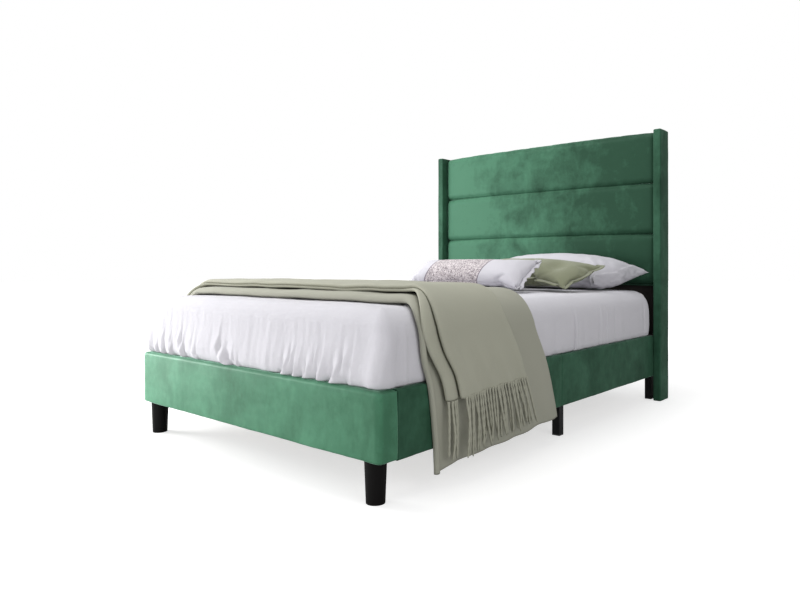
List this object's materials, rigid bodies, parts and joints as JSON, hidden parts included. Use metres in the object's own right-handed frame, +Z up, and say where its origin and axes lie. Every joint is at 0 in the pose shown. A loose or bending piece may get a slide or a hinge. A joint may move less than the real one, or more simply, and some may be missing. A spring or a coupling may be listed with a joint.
{
  "type": "upholstered headboard bed",
  "caption": "Double platform bed with a winged, channel-upholstered headboard, slatted base on legs, mattress, bedding and pillows.",
  "frame": {"origin": "on the floor, under the middle of the bed's footprint", "axes": "+X to the right of someone who stands at the foot and looks at the headboard, +Y towards the headboard, +Z up"},
  "size_m": [1.5, 2.102, 1.412],
  "materials": {
    "plywood": "unfinished plywood",
    "dark_board": "board covered in dark brown cloth",
    "softwood": "planed softwood",
    "dust_cloth": "black spun-bonded dust cover",
    "velvet": "short-pile green velvet over foam, with a soft mottled nap",
    "zinc_steel": "bright zinc plate",
    "black_wood": "black satin lacquer on turned wood",
    "black_steel": "black powder coat",
    "black_plastic": "moulded black plastic",
    "slat_wood": "pale laminated slats",
    "strap_webbing": "woven grey webbing",
    "mattress_ticking": "white knitted ticking",
    "white_linen": "washed white linen, softly creased",
    "blanket_wool": "sage green wool",
    "throw_wool": "sage green wool with a twisted fringe",
    "pillow_linen": "white cotton",
    "sage_linen": "sage green cotton with a corded seam",
    "patterned_cotton": "white cotton with a speckled grey and pink centre panel"
  },
  "bodies": {
    "frame": {"headboard_board": "plywood", "lower_panel": "dark_board", "stile_left": "softwood", "stile_right": "softwood", "top_batten": "softwood", "middle_batten": "softwood", "bottom_batten": "softwood", "back_dust_cover": "dust_cloth", "pad_top": "velvet", "pad_middle": "velvet", "pad_lower": "velvet", "wing_core_left": "plywood", "wing_core_right": "plywood", "wing_cover_left": "velvet", "wing_cover_right": "velvet", "wing_bolts": "zinc_steel", "head_cross_rail": "dark_board", "footboard_front_board": "plywood", "footboard_back_board": "plywood", "footboard_blocks": "softwood", "footboard_cover": "velvet", "front_leg_left": "black_wood", "front_leg_right": "black_wood", "front_leg_studs": "zinc_steel", "joint_leg_left": "black_steel", "joint_leg_right": "black_steel", "rear_leg_left": "black_steel", "rear_leg_right": "black_steel", "leg_caps": "black_plastic", "rail_front_left_board": "plywood", "rail_front_left_cover": "velvet", "rail_front_right_board": "plywood", "rail_front_right_cover": "velvet", "rail_rear_left_board": "plywood", "rail_rear_left_cover": "velvet", "rail_rear_right_board": "plywood", "rail_rear_right_cover": "velvet", "ledger_left": "softwood", "ledger_right": "softwood", "foot_brackets": "black_steel", "head_brackets": "black_steel", "frame_bolts": "zinc_steel", "centre_rail_front": "black_steel", "centre_rail_rear": "black_steel", "centre_rail_sleeve": "zinc_steel", "centre_rail_hangers": "black_steel", "centre_legs": "black_steel"},
    "slat_base": {"slats": "slat_wood", "slat_straps": "strap_webbing"},
    "mattress": {"mattress": "mattress_ticking", "bed_sheet": "white_linen"},
    "blanket": {"blanket": "blanket_wool"},
    "throw": {"throw": "throw_wool"},
    "pillow_white": {"pillow_white": "pillow_linen"},
    "pillow_sage": {"pillow_sage": "sage_linen"},
    "pillow_patterned": {"pillow_patterned": "patterned_cotton"},
    "glide_front": {"centre_glide_front": "black_plastic"},
    "glide_middle": {"centre_glide_middle": "black_plastic"},
    "glide_rear": {"centre_glide_rear": "black_plastic"}
  },
  "joints": [
    {"name": "slats_lift", "type": "slide", "parent": "frame", "child": "slat_base", "axis": [0, 0, 1], "range_m": [0, 0.15]},
    {"name": "mattress_lift", "type": "slide", "parent": "slat_base", "child": "mattress", "axis": [0, 0, 1], "range_m": [0, 0.25]},
    {"name": "blanket_lift", "type": "slide", "parent": "mattress", "child": "blanket", "axis": [0, 0, 1], "range_m": [0, 0.3]},
    {"name": "throw_lift", "type": "slide", "parent": "blanket", "child": "throw", "axis": [0, 0, 1], "range_m": [0, 0.25]},
    {"name": "white_pillow_lift", "type": "slide", "parent": "mattress", "child": "pillow_white", "axis": [0, 0, 1], "range_m": [0, 0.2]},
    {"name": "sage_pillow_lift", "type": "slide", "parent": "pillow_white", "child": "pillow_sage", "axis": [0, 0, 1], "range_m": [0, 0.2]},
    {"name": "patterned_pillow_lift", "type": "slide", "parent": "pillow_sage", "child": "pillow_patterned", "axis": [0, 0, 1], "range_m": [0, 0.2]},
    {"name": "front_glide_screw", "type": "slide", "parent": "frame", "child": "glide_front", "axis": [0, 0, 1], "range_m": [0, 0.0035]},
    {"name": "middle_glide_screw", "type": "slide", "parent": "frame", "child": "glide_middle", "axis": [0, 0, 1], "range_m": [0, 0.0035]},
    {"name": "rear_glide_screw", "type": "slide", "parent": "frame", "child": "glide_rear", "axis": [0, 0, 1], "range_m": [0, 0.0035]}
  ]
}
